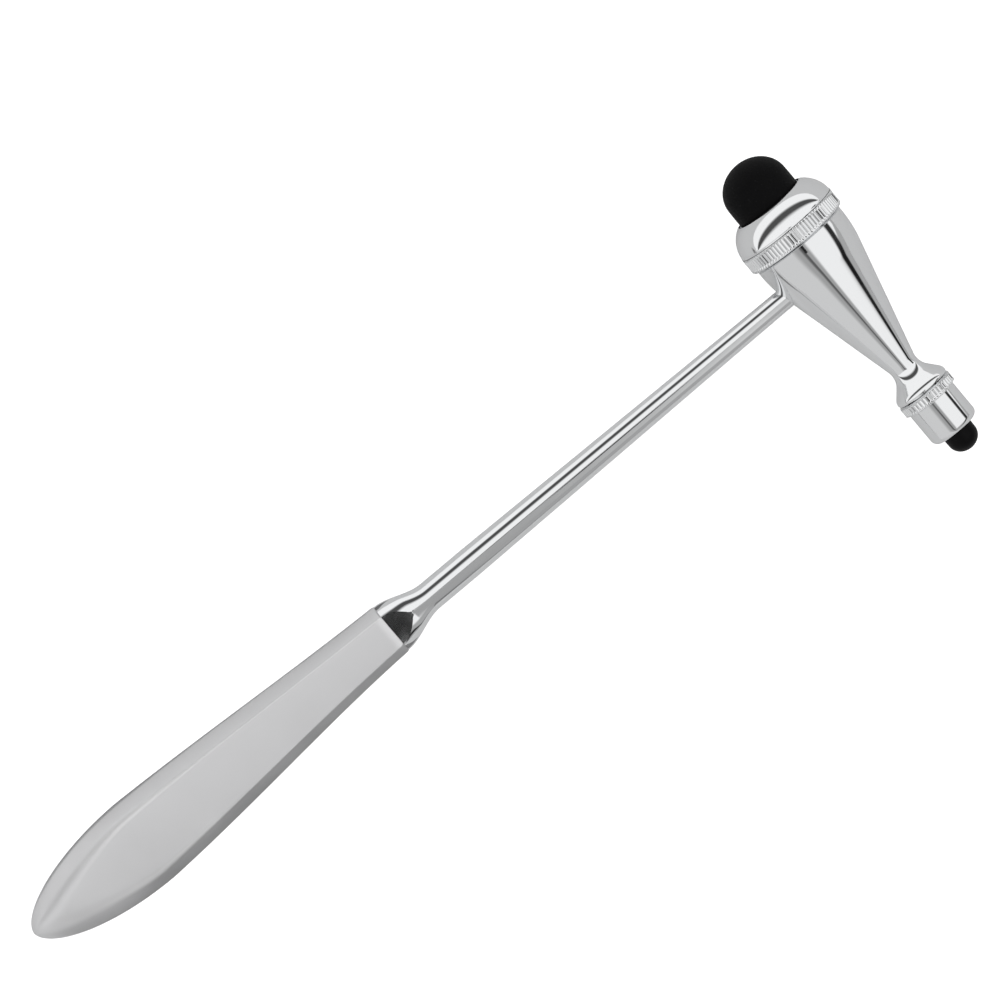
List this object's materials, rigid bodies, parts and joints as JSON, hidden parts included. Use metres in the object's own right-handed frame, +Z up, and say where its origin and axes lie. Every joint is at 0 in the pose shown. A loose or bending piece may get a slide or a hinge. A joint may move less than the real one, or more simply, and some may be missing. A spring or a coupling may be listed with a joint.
{
  "type": "reflex hammer",
  "caption": "Reflex hammer with a tapered metal head, rubber mallets in screw caps at both ends, a slender round shaft and a flat leaf-shaped handle, lying on a table.",
  "frame": {"origin": "on the table under the middle of the bounding box of the hammer as it lies at rest on both caps and its handle", "axes": "+X along the shaft's line on the table, from the handle towards the head; +Y towards the large mallet; +Z up"},
  "size_m": [0.2452, 0.0828, 0.0262],
  "materials": {
    "chrome": "mirror-polished chrome plate",
    "satin_steel": "fine satin",
    "rubber": "matte black",
    "washer_brass": "plain turned"
  },
  "bodies": {
    "handle_and_head": {"handle": "satin_steel", "shaft": "chrome", "head_body": "chrome"},
    "large_mallet": {"large_mallet": "rubber", "large_washer": "washer_brass"},
    "large_cap": {"large_cap": "chrome"},
    "small_mallet": {"small_mallet": "rubber", "small_washer": "washer_brass"},
    "small_cap": {"small_cap": "chrome"}
  },
  "joints": [
    {"name": "large_mallet_slide", "type": "slide", "parent": "handle_and_head", "child": "large_mallet", "axis": [-0.0032, 0.9926, 0.1211], "range_m": [0, 0.003]},
    {"name": "large_cap_screw", "type": "hinge", "parent": "large_mallet", "child": "large_cap", "pos_m": [0.10963, 0.01145, 0.01178], "axis": [-0.0032, 0.9926, 0.1211], "range_deg": [0, 1081]},
    {"name": "small_mallet_slide", "type": "slide", "parent": "handle_and_head", "child": "small_mallet", "axis": [0.0032, -0.9926, -0.1211], "range_m": [0, 0.0045]},
    {"name": "small_cap_screw", "type": "hinge", "parent": "small_mallet", "child": "small_cap", "pos_m": [0.10963, 0.01145, 0.01178], "axis": [0.0032, -0.9926, -0.1211], "range_deg": [0, 1621]}
  ],
  "couplings": [
    {"joint": "large_cap_screw", "follows": "large_mallet_slide", "rad_per_m": 6283.2},
    {"joint": "small_cap_screw", "follows": "small_mallet_slide", "rad_per_m": 6283.2}
  ]
}
